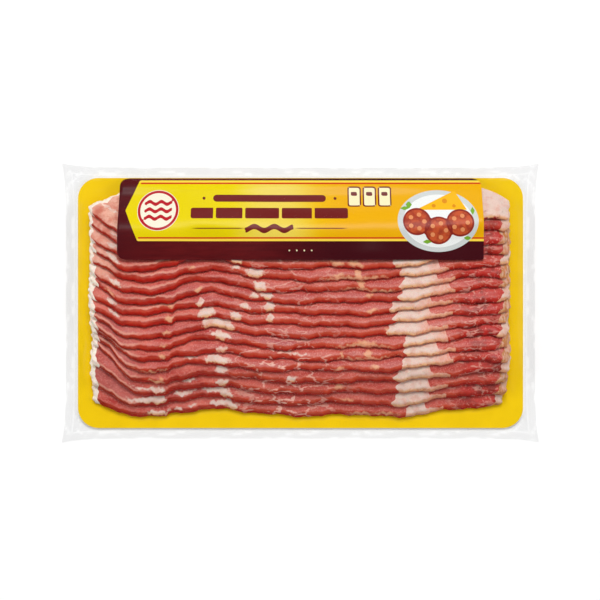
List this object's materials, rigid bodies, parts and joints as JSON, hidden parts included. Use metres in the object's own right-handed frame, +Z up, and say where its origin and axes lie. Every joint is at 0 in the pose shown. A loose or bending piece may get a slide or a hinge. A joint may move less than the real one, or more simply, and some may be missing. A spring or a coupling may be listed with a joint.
{
  "type": "bacon pack",
  "caption": "Sealed clear pouch of raw streaky bacon slices, shingled on a yellow card, with a printed label along one long edge.",
  "frame": {"origin": "under the middle of the pouch, on the surface that the pack lies on", "axes": "+X along the slices, +Y towards the label, +Z up, out of the shown side"},
  "size_m": [0.266, 0.1558, 0.0205],
  "materials": {
    "film": "clear glossy vacuum film",
    "card": "coated yellow card, satin",
    "label": "printed paper, satin",
    "bacon": "moist raw meat and fat"
  },
  "bodies": {
    "root": {"pouch": "film", "backing_card": "card", "front_label": "label", "slice_01": "bacon", "slice_02": "bacon", "slice_03": "bacon", "slice_04": "bacon", "slice_05": "bacon", "slice_06": "bacon", "slice_07": "bacon", "slice_08": "bacon", "slice_09": "bacon", "slice_10": "bacon", "slice_11": "bacon", "slice_12": "bacon", "slice_13": "bacon", "slice_14": "bacon", "slice_15": "bacon", "slice_16": "bacon", "slice_17": "bacon"}
  },
  "joints": []
}
